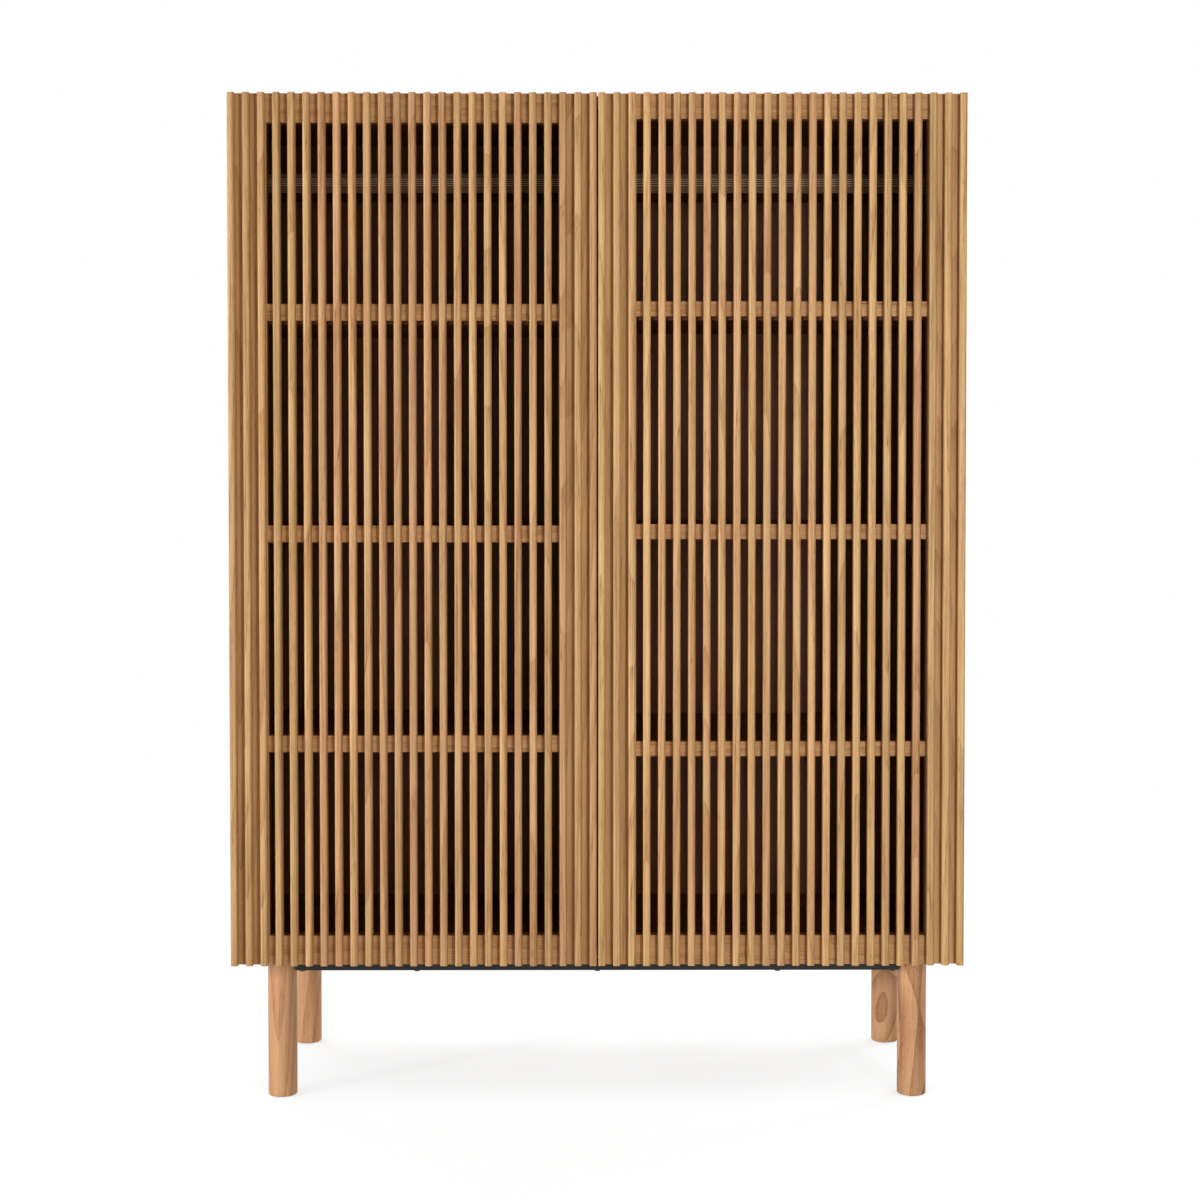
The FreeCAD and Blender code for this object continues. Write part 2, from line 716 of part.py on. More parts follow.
bore(cup, "Z", -1, ("0", "0", f"{S}pivot_pin_length / 2"), f"{S}pivot_pin", f"{S}pivot_pin_length")

pivot_pin = new_body("hinge_pin_master")
add(
    pivot_pin,
    "XY",
    ("0", "0", f"-{S}pivot_pin_length / 2"),
    lambda s: draw_circle(s, f"{S}pivot_pin"),
    f"{S}pivot_pin_length",
)

# The arm reaches forward into the cup, turns outward to the pivot and ends in an eye.
arm = new_body("hinge_arm_master")
LINK_HALF = f"{S}hinge_arm_thickness / 2"
LINK_BACK = f"({DOOR_BACK} + {S}cup_flange_thickness + {S}door_gap)"
add(
    arm,
    "XY",
    ("0", f"-{LINK_HALF}", f"-{S}hinge_link / 2"),
    lambda s: draw_outline(
        s,
        [
            ("0", "0"),
            (f"{F}arm_x + {S}hinge_arm_thickness", "0"),
            (f"{F}arm_x + {S}hinge_arm_thickness", f"{LINK_BACK} + {LINK_HALF}"),
            (f"{F}arm_x", f"{LINK_BACK} + {LINK_HALF}"),
            (f"{F}arm_x", f"{S}hinge_arm_thickness"),
            ("0", f"{S}hinge_arm_thickness"),
        ],
    ),
    f"{S}hinge_link",
)
add(arm, "XY", ("0", "0", f"-{S}hinge_link / 2"), lambda s: draw_circle(s, f"{S}hinge_eye"), f"{S}hinge_link")
ARM_START = f"({DOOR_BACK} + {S}door_gap)"
add(
    arm,
    "XY",
    (f"{F}arm_x", ARM_START, f"-{S}hinge_arm / 2"),
    lambda s: draw_rectangle(s, f"{S}hinge_arm_thickness", f"{S}hinge_arm_length - {ARM_START}"),
    f"{S}hinge_arm",
)
bore(
    arm, "Z", -1,
    ("0", "0", f"{S}hinge_link / 2"),
    f"{S}pivot_pin + 2 * {S}pivot_clearance",
    f"{S}hinge_link",
)

# The mounting plate has a body under the arm and two wings that are screwed to the side panel.
plate = new_body("hinge_plate_master")
PLATE_Y = f"({DOOR_BACK} + {S}door_gap + {S}hinge_plate_setback)"
PLATE_X = f"({F}arm_x - {S}hinge_plate_thickness)"
add(
    plate,
    "YZ",
    (PLATE_X, PLATE_Y, f"-{S}hinge_plate_width / 2"),
    lambda s: draw_rectangle(s, f"{S}hinge_plate_length", f"{S}hinge_plate_width"),
    f"{S}hinge_plate_thickness",
)
add(
    plate,
    "YZ",
    (
        PLATE_X,
        f"{PLATE_Y} + ({S}hinge_plate_length - {S}hinge_wing_width) / 2",
        f"-{S}hinge_wing / 2",
    ),
    lambda s: draw_rectangle(s, f"{S}hinge_wing_width", f"{S}hinge_wing"),
    f"{S}hinge_wing_thickness",
)

HINGE_PARTS = (
    ("hinge_cups", cup),
    ("hinge_pins", pivot_pin),
    ("hinge_arms", arm),
    ("hinge_plates", plate),
)
for side, sign in (("left", 1), ("right", -1)):
    places = [(sign * fits.pivot_x, fits.pivot_y, number(height)) for height in HINGE_HEIGHTS]
    for name, master in HINGE_PARTS:
        nodes.append(group(f"{side}_{name}", master, places, flip=side == "right"))

# ---------------------------------------------------------------- touch latches, strikes, buffers

latch = new_body(
    "left_latch_housing",
    (f"-{F}latch_x", f"{F}latch_front_y", f"{F}latch_z"),
)
add(
    latch,
    "XY",
    (f"-{S}latch_width / 2", "0", f"-{S}latch_height / 2"),
    lambda s: draw_rectangle(s, f"{S}latch_width", f"{S}latch_length"),
    f"{S}latch_height",
)
bore(
    latch, "Y", 1,
    ("0", "0", "0"),
    f"{S}plunger + 2 * {S}plunger_clearance",
    f"{F}tip_y + {S}plunger_length + {S}plunger_travel + {S}plunger_clearance - {F}latch_front_y",
)

plunger = new_body("left_latch_plunger", (f"-{F}latch_x", f"{F}tip_y", f"{F}latch_z"))
add(plunger, "XZ", ("0", "0", "0"), lambda s: draw_circle(s, f"{S}plunger"), f"{S}plunger_length")
dress(
    plunger, "Chamfer", "Size", f"{S}plunger_edge",
    lambda middle, edge: near(edge.BoundBox.YLength, 0)
    and near(edge.CenterOfMass.y, min(v.Y for v in plunger.Tip.Shape.Vertexes)),
)

strike = new_body("left_strike", (f"-{F}latch_x", f"{F}frame_back_y", f"{F}latch_z"))
add(strike, "XZ", ("0", "0", "0"), lambda s: draw_circle(s, f"{S}strike"), f"{S}strike_thickness")
for piece in (latch, plunger, strike):
    nodes.append(piece)
    nodes.append(mirrored(piece.Label.replace("left", "right"), piece))

buffer = new_body("buffer_master")
add(
    buffer,
    "XZ",
    ("0", "0", "0"),
    lambda s: draw_circle(s, f"{S}buffer"),
    f"{S}door_gap - {S}buffer_gap",
    -1,
)
buffer_places = [
    (x, fits.carcass_front_y, z)
    for x in (-sizes.buffer_x, sizes.buffer_x)
    for z in (sizes.carcass_base + sizes.panel / 2, fits.top_z + sizes.panel / 2)
]
nodes.append(group("door_buffers", buffer, buffer_places))

# ---------------------------------------------------------------- underframe

BOLT_XS = (
    f"-{F}end_bolt_x",
    f"-{S}frame_bolt_spacing",
    "0",
    f"{S}frame_bolt_spacing",
    f"{F}end_bolt_x",
)


def make_tube(label, axis, corner, length, cope):
    """A steel tube along an axis, notched at both ends so that it tucks under the leg plates."""
    tube = new_body(label, corner)
    plane = NORMAL_TO[axis]
    add(
        tube, plane, ("0", "0", "0"),
        lambda s: draw_rectangle(s, f"{S}tube_width", f"{S}tube_height"),
        length,
    )
    dress(
        tube, "Fillet", "Radius", f"{S}tube_round",
        lambda middle, edge: edge.Length > number(length) - 1,
    )
    wall = f"{S}tube_wall"
    start = {"X": ("0", wall, wall), "Y": (wall, "0", wall)}[axis]
    take(
        tube, plane, start,
        lambda s: draw_rectangle(s, f"{S}tube_width - 2 * {wall}", f"{S}tube_height - 2 * {wall}"),
        length, 1,
    )
    notch_z = f"{S}tube_height - {S}leg_plate_thickness"
    for end in ("0", f"{length} - {cope}"):
        corner_at = {"X": (end, "0", notch_z), "Y": ("0", end, notch_z)}[axis]
        size = {
            "X": (cope, f"{S}tube_width", f"{S}leg_plate_thickness"),
            "Y": (f"{S}tube_width", cope, f"{S}leg_plate_thickness"),
        }[axis]
        take_box(tube, corner_at, size)
    return tube


long_tube = f"{F}long_tube"
short_tube = f"{F}short_tube"
LEG_ROWS = {"front": f"{F}front_leg_y", "back": f"{F}back_leg_y"}
for name, y in LEG_ROWS.items():
    corner = (f"-{long_tube} / 2", f"{y} - {S}tube_width / 2", f"{F}tube_z")
    tube = make_tube(f"{name}_frame_tube", "X", corner, long_tube, f"{F}long_cope")
    for x in BOLT_XS:
        mouth = (f"{x} + {long_tube} / 2", f"{S}tube_width / 2", "0")
        bore(tube, "Z", 1, mouth, f"{F}bolt_hole", f"{S}tube_height")
    nodes.append(tube)
for name, x in (("left", f"-{F}leg_x"), ("right", f"{F}leg_x")):
    corner = (f"{x} - {S}tube_width / 2", f"{F}front_leg_y + {F}tube_end", f"{F}tube_z")
    nodes.append(make_tube(f"{name}_frame_tube", "Y", corner, short_tube, f"{F}short_cope"))

leg_plate = new_body("leg_plate_master")
add(
    leg_plate,
    "XY",
    (f"-{S}leg_plate / 2", f"-{S}leg_plate_depth / 2", "0"),
    lambda s: draw_rectangle(s, f"{S}leg_plate", f"{S}leg_plate_depth"),
    f"{S}leg_plate_thickness",
)
bore(leg_plate, "Z", 1, ("0", "0", "0"), f"{S}leg_bolt", f"{S}leg_plate_thickness")
for x in (f"-{S}plate_hole", f"{S}plate_hole"):
    bore(leg_plate, "Z", 1, (x, "0", "0"), f"{F}bolt_hole", f"{S}leg_plate_thickness")
row_ys = (fits.front_leg_y, fits.back_leg_y)
corners = [(x, y) for x in (-fits.leg_x, fits.leg_x) for y in row_ys]
nodes.append(group("leg_plates", leg_plate, [(x, y, fits.leg_top_z) for x, y in corners]))



def make_bolt(label, passes):
    """A bolt that hangs from its head, goes through what it clamps and ends in the bottom panel."""
    bolt = new_body(label)
    add(
        bolt,
        "XY",
        ("0", "0", f"-{S}frame_bolt_head_height"),
        lambda s: draw_circle(s, f"{S}frame_bolt_head"),
        f"{S}frame_bolt_head_height",
    )
    dress(
        bolt, "Chamfer", "Size", f"{S}frame_bolt_head_height / 2",
        lambda middle, edge: near(middle.z, -sizes.frame_bolt_head_height),
    )
    shank = f"{passes} + {S}frame_bolt_in"
    add(bolt, "XY", ("0", "0", "0"), lambda s: draw_circle(s, f"{S}frame_bolt"), shank)
    return bolt


# A plate is held by a bolt through the end of the tube and by a shorter one beside the leg.
PLATE_BOLT_XS = (f"-{F}plate_bolt_x", f"{F}plate_bolt_x")
tube_bolt_places = [(number(x), y, fits.tube_z) for y in row_ys for x in BOLT_XS]
frame_bolts = group("frame_bolts", make_bolt("tube_bolt_master", f"{S}tube_height"), tube_bolt_places)
plate_bolt_places = [(number(x), y, fits.leg_top_z) for y in row_ys for x in PLATE_BOLT_XS]
plate_bolt = make_bolt("plate_bolt_master", f"{S}leg_plate_thickness")
gather(frame_bolts, group("plate_bolts", plate_bolt, plate_bolt_places))
nodes.append(frame_bolts)
for y in LEG_ROWS.values():
    for x in BOLT_XS + PLATE_BOLT_XS:
        mouth = (f"{x} + {F}inside_half", f"{y} - {F}carcass_front_y", "0")
        bore(bottom_panel, "Z", 1, mouth, f"{S}frame_bolt", f"{S}frame_bolt_in + {S}bore_spare")

# ---------------------------------------------------------------- legs, bolts and glides


def draw_leg(sketch):
    """Half of a leg's section, with the bolt's bore at the top and the glide's recess at the foot."""
    radius = f"{S}leg / 2"
    height = f"({F}leg_top_z - {S}glide_out)"
    draw_outline(
        sketch,
        [
            ("0", f"{S}glide_in"),
            (f"{S}glide / 2", f"{S}glide_in"),
            (f"{S}glide / 2", "0"),
            (f"{radius} - {S}leg_edge", "0"),
            (radius, f"{S}leg_edge"),
            (radius, f"{height} - {S}leg_edge"),
            (f"{radius} - {S}leg_edge", height),
            (f"{S}leg_bolt / 2", height),
            (f"{S}leg_bolt / 2", f"{height} - {S}leg_bolt_in"),
            ("0", f"{height} - {S}leg_bolt_in"),
        ],
    )


def turn(body, draw):
    """A turned piece: half of its section, revolved round the body's Z axis."""
    sketch = sketch_at(body, "XZ", ("0", "0", "0"))
    draw(sketch)
    revolution = body.newObject("PartDesign::Revolution", "Revolution")
    revolution.Profile = sketch
    revolution.ReferenceAxis = (sketch, ["V_Axis"])
    revolution.Angle = 360
    doc.recompute()
    return revolution


for row, y in LEG_ROWS.items():
    for side, x in (("left", f"-{F}leg_x"), ("right", f"{F}leg_x")):
        leg = new_body(f"{row}_{side}_leg", (x, y, f"{S}glide_out"))
        turn(leg, draw_leg)
        nodes.append(leg)

leg_bolt = new_body("leg_bolt_master")
add(
    leg_bolt,
    "XY",
    ("0", "0", f"-{S}leg_bolt_in"),
    lambda s: draw_circle(s, f"{S}leg_bolt"),
    f"{S}leg_bolt_in + {S}leg_plate_thickness",
)
nodes.append(group("leg_bolts", leg_bolt, [(x, y, fits.leg_top_z) for x, y in corners]))

glide = new_body("glide_master")
add(glide, "XY", ("0", "0", "0"), lambda s: draw_circle(s, f"{S}glide"), f"{S}glide_in + {S}glide_out")
dress(
    glide, "Chamfer", "Size", f"{S}glide_out * 0.8",
    lambda middle, edge: near(middle.z, 0),
)
nodes.append(group("leg_glides", glide, [(x, y, 0) for x, y in corners]))

# ---------------------------------------------------------------- checks and files

doc.recompute()
for item in doc.Objects:
    if {"Invalid", "Error"} & set(item.State):
        raise RuntimeError(f"{item.Label} failed: {item.State}")
labels = [node.Label for node in nodes]
if len(set(labels)) != len(labels):
    raise RuntimeError("two nodes have the same label")
os.makedirs("parts", exist_ok=True)
for node in nodes:
    shape = node.Shape
    if shape.isNull() or not shape.isValid() or not shape.Solids:
        raise RuntimeError(f"{node.Label} has no valid solid")
for node in nodes:
    node.Shape.exportStep(f"parts/{node.Label}.step")
print(len(nodes), "nodes,", sum(len(node.Shape.Solids) for node in nodes), "solids")
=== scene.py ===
# %% [markdown]
# # A louvred oak cabinet
# The cabinet comes in as finished solids, each with its real size and place. What is left for
# Blender is how it looks: oak that has grain and differs from slat to slat, a dark interior, black
# powder coat, nickel hinges, the small screws, and the light of a plain white studio.

# %% Load the solids
import math

import bmesh
import bpy
from mathutils import Matrix, Vector


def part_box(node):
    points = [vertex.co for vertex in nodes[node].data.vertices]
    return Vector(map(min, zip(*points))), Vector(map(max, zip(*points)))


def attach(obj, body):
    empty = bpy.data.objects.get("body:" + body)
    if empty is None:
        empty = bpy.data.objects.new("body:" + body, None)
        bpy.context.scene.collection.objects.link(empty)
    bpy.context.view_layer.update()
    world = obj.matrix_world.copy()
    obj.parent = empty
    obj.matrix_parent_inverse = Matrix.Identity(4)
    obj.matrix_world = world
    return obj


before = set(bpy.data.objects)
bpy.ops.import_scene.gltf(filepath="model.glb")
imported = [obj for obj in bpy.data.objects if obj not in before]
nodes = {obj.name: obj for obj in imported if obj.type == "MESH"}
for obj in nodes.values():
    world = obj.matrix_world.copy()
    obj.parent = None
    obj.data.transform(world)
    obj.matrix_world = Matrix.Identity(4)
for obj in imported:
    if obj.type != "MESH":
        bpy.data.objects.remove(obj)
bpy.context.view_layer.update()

SIDES = ("left", "right")
LEVELS = ("upper", "middle", "lower")
MM = 0.001

# %% [markdown]
# ## Small tools for node trees
# A material is a graph, and a graph is easier to read when each node is one line. `put` makes a
# node, sets its options and fills its inputs with either a value or a link. `maths` is the same for
# the Math node, which is used most.

# %% Node tools


def put(tree, kind, inputs=None, **options):
    """A new node. An input is given as a value or as the socket that feeds it."""
    made = tree.nodes.new(kind)
    for name, value in options.items():
        setattr(made, name, value)
    for name, value in (inputs or {}).items():
        if isinstance(value, bpy.types.NodeSocket):
            tree.links.new(value, made.inputs[name])
        else:
            made.inputs[name].default_value = value
    return made


def maths(tree, operation, a, b=0.0, clamp=False):
    made = put(tree, "ShaderNodeMath", {0: a, 1: b}, operation=operation, use_clamp=clamp)
    return made.outputs[0]


def span(tree, value, low, high, to_low=0.0, to_high=1.0):
    """Stretches low..high of a value to to_low..to_high, and holds it there outside."""
    ends = {"From Min": low, "From Max": high, "To Min": to_low, "To Max": to_high}
    return put(tree, "ShaderNodeMapRange", {"Value": value, **ends}).outputs[0]


def stretched(tree, vector, scale):
    return put(tree, "ShaderNodeMapping", {"Vector": vector, "Scale": scale}).outputs[0]


def noise(tree, vector, scale, detail=2.0, roughness=0.5):
    inputs = {"Vector": vector, "Scale": scale, "Detail": detail, "Roughness": roughness}
    return put(tree, "ShaderNodeTexNoise", inputs).outputs["Fac"]


def blend(tree, factor, a, b, mode="MIX"):
    """One colour mixed over another."""
    made = put(tree, "ShaderNodeMix", data_type="RGBA", blend_type=mode)
    for index, value in ((0, factor), (6, a), (7, b)):
        if isinstance(value, bpy.types.NodeSocket):
            tree.links.new(value, made.inputs[index])
        else:
            made.inputs[index].default_value = value
    return made.outputs[2]


def group_tree(name, inputs, outputs):
    """A shader node group with named sockets, and its two end nodes."""
    tree = bpy.data.node_groups.new(name, "ShaderNodeTree")
    for label, kind, value in inputs:
        socket = tree.interface.new_socket(label, in_out="INPUT", socket_type=f"NodeSocket{kind}")
        if value is not None:
            socket.default_value = value
    for label, kind in outputs:
        tree.interface.new_socket(label, in_out="OUTPUT", socket_type=f"NodeSocket{kind}")
    return tree, put(tree, "NodeGroupInput").outputs, put(tree, "NodeGroupOutput").inputs


def srgb(red, green, blue):
    """A colour as picked from a screen, 0 to 255, turned into the linear values of shaders."""
    def linear(value):
        value /= 255
        return value / 12.92 if value <= 0.04045 else ((value + 0.055) / 1.055) ** 2.4
    return (linear(red), linear(green), linear(blue), 1.0)


# %% [markdown]
# ## Oak
# Oak is a ring-porous wood. A board shows three things: growth rings, which are wide waves or
# arches; fibres, which are fine streaks along the board; and pores, short dark dashes that follow
# the rings. All of them come from noise that is squeezed along the grain, so that its blobs become
# streaks. The rings are levels of one smooth noise: the fraction of a multiple of it rises slowly
# and drops at once, as the colour does from one year's wood to the next. The group expects the
# grain to run along Z, and a number for the board moves the pattern, so no two boards are alike.

# %% The oak group
# noise scales are per metre across the grain, and a squeeze is the part of it left along the grain
BOARD_JUMP = (7.0, 5.0, 9.0)  # how far apart two boards can be cut from the noise, in metres
RING_SCALE, RING_SQUEEZE = 7, 0.07
RING_LEVELS, RING_EDGE = 30.0, 1.8
FIBRE_SCALE, FIBRE_SQUEEZE = 420, 0.012
CLOUD_SCALE, CLOUD_SQUEEZE = 22, 0.2
PORE_SCALE, PORE_SQUEEZE = 1150, 0.045
FIBRE_RANGE, PORE_RANGE, CLOUD_RANGE = (0.3, 0.72), (0.57, 0.7), (0.3, 0.7)
CLOUD_TONE = 0.12
PORES_IN_PALE_RING = 0.35     # share of the pores outside a ring's dark part
HUE_RANGE = (0.491, 0.506)    # 0.5 leaves a hue as it is
LIGHT_RANGE = (0.86, 1.06)
ROUGH_RANGE, PORE_ROUGHNESS = (0.42, 0.56), 0.2
FIBRE_RELIEF = 0.35           # height of the fibres, where a pore is 1 deep


def make_oak_group():
    tree, given, result = group_tree(
        "oak",
        [
            ("Vector", "Vector", None),
            ("Board", "Float", 0.0),
            ("Pale", "Color", (0.6, 0.4, 0.2, 1)),
            ("Deep", "Color", (0.4, 0.2, 0.1, 1)),
            ("Figure", "Float", 0.5),
            ("Streaks", "Float", 0.5),
            ("Pores", "Float", 0.5),
            ("Variety", "Float", 0.3),
        ],
        [("Color", "Color"), ("Roughness", "Float"), ("Height", "Float")],
    )
    lottery = put(tree, "ShaderNodeTexWhiteNoise", {"W": given["Board"]}, noise_dimensions="1D")
    chance, shade = lottery.outputs["Color"], lottery.outputs["Value"]
    away = put(tree, "ShaderNodeVectorMath", {0: chance, 1: BOARD_JUMP}, operation="MULTIPLY")
    moved = {0: given["Vector"], 1: away.outputs[0]}
    place = put(tree, "ShaderNodeVectorMath", moved, operation="ADD").outputs[0]

    def grain_noise(scale, squeeze, **options):
        return noise(tree, stretched(tree, place, (1, 1, squeeze)), scale, **options)

    rings = grain_noise(RING_SCALE, RING_SQUEEZE, detail=1.5, roughness=0.3)
    rings = maths(tree, "FRACT", maths(tree, "MULTIPLY", rings, RING_LEVELS))
    rings = maths(tree, "POWER", rings, RING_EDGE)
    fibres = grain_noise(FIBRE_SCALE, FIBRE_SQUEEZE, detail=3, roughness=0.6)
    fibres = span(tree, fibres, *FIBRE_RANGE)
    clouds = grain_noise(CLOUD_SCALE, CLOUD_SQUEEZE, detail=2)
    clouds = span(tree, clouds, *CLOUD_RANGE, -CLOUD_TONE, CLOUD_TONE)
    pores = grain_noise(PORE_SCALE, PORE_SQUEEZE, detail=1)
    shown = span(tree, rings, 0.2, 0.9, PORES_IN_PALE_RING, 1)
    pores = maths(tree, "MULTIPLY", span(tree, pores, *PORE_RANGE), shown)

    depth = maths(tree, "MULTIPLY", rings, given["Figure"])
    depth = maths(tree, "ADD", depth, maths(tree, "MULTIPLY", fibres, given["Streaks"]))
    depth = maths(tree, "ADD", depth, clouds, clamp=True)
    colour = blend(tree, depth, given["Pale"], given["Deep"])
    marks = maths(tree, "MULTIPLY", pores, given["Pores"])
    colour = blend(tree, marks, colour, given["Deep"], "MULTIPLY")
    # a board is a little lighter or darker, and a little yellower or pinker, than the next one
    hue = put(tree, "ShaderNodeSeparateColor", {0: chance}).outputs[1]
    change = {
        "Color": colour, "Saturation": 1.0,
        "Hue": span(tree, hue, 0, 1, *HUE_RANGE), "Value": span(tree, shade, 0, 1, *LIGHT_RANGE),
    }
    turned = put(tree, "ShaderNodeHueSaturation", change).outputs[0]
    tree.links.new(blend(tree, given["Variety"], colour, turned), result["Color"])
    rough = span(tree, fibres, 0, 1, *ROUGH_RANGE)
    rough = maths(tree, "ADD", rough, maths(tree, "MULTIPLY", pores, PORE_ROUGHNESS))
    tree.links.new(rough, result["Roughness"])
    relief = maths(tree, "SUBTRACT", maths(tree, "MULTIPLY", fibres, FIBRE_RELIEF), pores)
    tree.links.new(relief, result["Height"])
    return tree


oak_group = make_oak_group()
print("oak group:", len(oak_group.nodes), "nodes")

# %% [markdown]
# ## Finishes made with the oak group
# The same group gives the pale slats, the more golden slats of the right door, the door frames, the
# pinker legs and the dark boards inside, with other colours and amounts. A Mapping node turns the
# grain of a piece that lies down. A sawn end shows darker than a planed face, so the faces that
# look along the grain are given a deeper colour.

# %% Wood finishes
OAK_PALE, OAK_DEEP = srgb(203, 162, 114), srgb(144, 98, 50)
GOLD_PALE, GOLD_DEEP = srgb(208, 168, 118), srgb(148, 102, 52)
# the frame's colours are the slats' oak painted browner and more saturated: painted shade between
# the slats
FRAME_SHADED_PALE, FRAME_SHADED_DEEP = srgb(203, 158, 106), srgb(144, 96, 48)
LEG_PALE, LEG_DEEP = srgb(199, 153, 112), srgb(148, 98, 61)
STAIN_PALE, STAIN_DEEP = srgb(136, 79, 47), srgb(95, 54, 31)
END_SHADE, END_AMOUNT = srgb(150, 130, 112), 0.55
GRAIN_TURN = {"Z": (0, 0, 0), "X": (0, math.pi / 2, 0)}
WOOD_RELIEF = 0.3 * MM
WOOD_SHINE = 0.2              # Specular IOR Level: oiled wood reflects little


def wood_colour(tree, place, board, pale, deep, figure, streaks, pores, variety):
    return put(
        tree,
        "ShaderNodeGroup",
        {
            "Vector": place, "Board": board, "Pale": pale, "Deep": deep, "Figure": figure,
            "Streaks": streaks, "Pores": pores, "Variety": variety,
        },
        node_tree=oak_group,
    )


def stain_colour(tree, place, board):
    """The dark stain of the interior, with quiet grain."""
    wood = wood_colour(tree, place, board, STAIN_PALE, STAIN_DEEP, 0.4, 0.4, 0.3, 0.5)
    return wood.outputs["Color"]


def new_material(name):
    """An empty node material, its tree and its Principled shader."""
    material = bpy.data.materials.new(name)
    material.use_nodes = True
    tree = material.node_tree
    return material, tree, tree.nodes["Principled BSDF"]


def along(tree, normal, axis):
    """1 on faces that look along an axis, either way, and 0 elsewhere."""
    part = put(tree, "ShaderNodeSeparateXYZ", {0: normal}).outputs["XYZ".index(axis)]
    return maths(tree, "GREATER_THAN", maths(tree, "ABSOLUTE", part), 0.8)


def wood_material(
    name, grain="Z", board=0.0, pale=OAK_PALE, deep=OAK_DEEP, figure=0.35, streaks=0.5,
    pores=0.5, variety=1.0, bump=0.25, pitch=None, first=0.0, dark_face=None, arch=1.0,
):
    """Oak with its grain along an axis.

    pitch and first number the slats of one node by their place along X, so each one is a board of
    its own. dark_face is the direction of a face that has the interior's dark stain, as +X.
    A larger arch makes the rings run out of the board sooner, as in wood cut across them.
    """
    material, tree, shader = new_material(name)
    here = put(tree, "ShaderNodeTexCoord")
    turned = {"Vector": here.outputs["Object"], "Rotation": GRAIN_TURN[grain]}
    place = put(tree, "ShaderNodeMapping", turned).outputs[0]
    if arch != 1.0:
        place = stretched(tree, place, (1, 1, arch))
    if pitch:
        x = put(tree, "ShaderNodeSeparateXYZ", {0: here.outputs["Object"]}).outputs[0]
        count = maths(tree, "DIVIDE", maths(tree, "SUBTRACT", x, first), pitch)
        board = maths(tree, "ADD", maths(tree, "FLOOR", count), board)
    wood = wood_colour(tree, place, board, pale, deep, figure, streaks, pores, variety)
    colour = wood.outputs["Color"]
    ends = along(tree, here.outputs["Normal"], grain)
    ends = maths(tree, "MULTIPLY", ends, END_AMOUNT)
    colour = blend(tree, ends, colour, END_SHADE, "MULTIPLY")
    if dark_face:
        facing = put(tree, "ShaderNodeSeparateXYZ", {0: here.outputs["Normal"]})
        facing = facing.outputs["XYZ".index(dark_face[1])]
        if dark_face[0] == "-":
            facing = maths(tree, "MULTIPLY", facing, -1.0)
        inside = maths(tree, "GREATER_THAN", facing, 0.5)
        colour = blend(tree, inside, colour, stain_colour(tree, place, board))
    tree.links.new(colour, shader.inputs["Base Color"])
    tree.links.new(wood.outputs["Roughness"], shader.inputs["Roughness"])
    relief = {"Height": wood.outputs["Height"], "Strength": bump, "Distance": WOOD_RELIEF}
    tree.links.new(put(tree, "ShaderNodeBump", relief).outputs[0], shader.inputs["Normal"])
    shader.inputs["Specular IOR Level"].default_value = WOOD_SHINE
    return material


def finish_node(name, material):
    """Gives a solid its material."""
    mesh = nodes[name].data
    mesh.materials.clear()
    mesh.materials.append(material)


# %% [markdown]
# ## The slats
# Each door carries 25 slats, all in one node. In the real thing they are cut from different
# planks, and it is this change of tone from slat to slat that makes the doors lively. The shader
# counts slats along X from the node's own box, so it needs no list.

# %% Slats
SLATS_PER_DOOR = 25
SLAT_WIDTH = 9.8 * MM
BOARDS_APART = 100.0          # between the board numbers of the two doors
for number, side in enumerate(SIDES):
    low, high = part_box(f"{side}_slats")
    pitch = (high.x - low.x - SLAT_WIDTH) / (SLATS_PER_DOOR - 1)
    half_gap = (pitch - SLAT_WIDTH) / 2
    slat_oak = (OAK_PALE, OAK_DEEP) if side == "left" else (GOLD_PALE, GOLD_DEEP)
    material = wood_material(
        f"{side} slats", "Z", BOARDS_APART * (number + 1), *slat_oak, figure=0.3, streaks=0.65,
        pores=0.6, pitch=pitch, first=low.x - half_gap,
    )
    finish_node(f"{side}_slats", material)
    print(side, "slat pitch", round(pitch / MM, 2), "mm")

# %% [markdown]
# ## Frames of the doors
# Stiles run up and rails run across, and so does their grain. Their oak is nearly that of the
# slats, but painted a little browner and more saturated, which is painted shade for the gaps
# between the slats. They look browner still because less light gets between the slats.

# %% Door frames
DOOR_STILES = ("hinge_stile", "meeting_stile")
DOOR_RAILS = ("top_rail", "upper_rail", "middle_rail", "lower_rail", "bottom_rail")
board_number = 1.0
for side in SIDES:
    for piece in DOOR_STILES + DOOR_RAILS:
        grain = "Z" if piece in DOOR_STILES else "X"
        name = f"{side}_{piece}"
        material = wood_material(
            name, grain, board_number, FRAME_SHADED_PALE, FRAME_SHADED_DEEP, 0.3, variety=0.3, bump=0.15
        )
        finish_node(name, material)
        board_number += 1.0

# %% [markdown]
# ## The carcass
# The boards of the carcass are oak outside and stained dark inside, which is what makes the gaps
# between the slats read as black. One board therefore has two finishes, chosen by the way a face
# looks. The middle wall and the shelves are dark all over.

# %% Carcass boards
for name, grain, inner_face in (
    ("left_side_panel", "Z", "+X"),
    ("right_side_panel", "Z", "-X"),
    ("top_panel", "X", "-Z"),
    ("bottom_panel", "X", "+Z"),
    ("left_back_panel", "Z", "-Y"),
    ("right_back_panel", "Z", "-Y"),
):
    material = wood_material(
        name, grain, board_number, figure=0.55, variety=0.3, dark_face=inner_face
    )
    finish_node(name, material)
    board_number += 1.0

DARK_BOARDS = ["centre_divider"] + [f"{side}_{level}_shelf" for side in SIDES for level in LEVELS]
for name in DARK_BOARDS:
    grain = "X" if name.endswith("shelf") else "Z"
    material = wood_material(
        name, grain, board_number, STAIN_PALE, STAIN_DEEP, 0.45, 0.4, 0.3, 0.5, bump=0.15
    )
    finish_node(name, material)
    board_number += 1.0

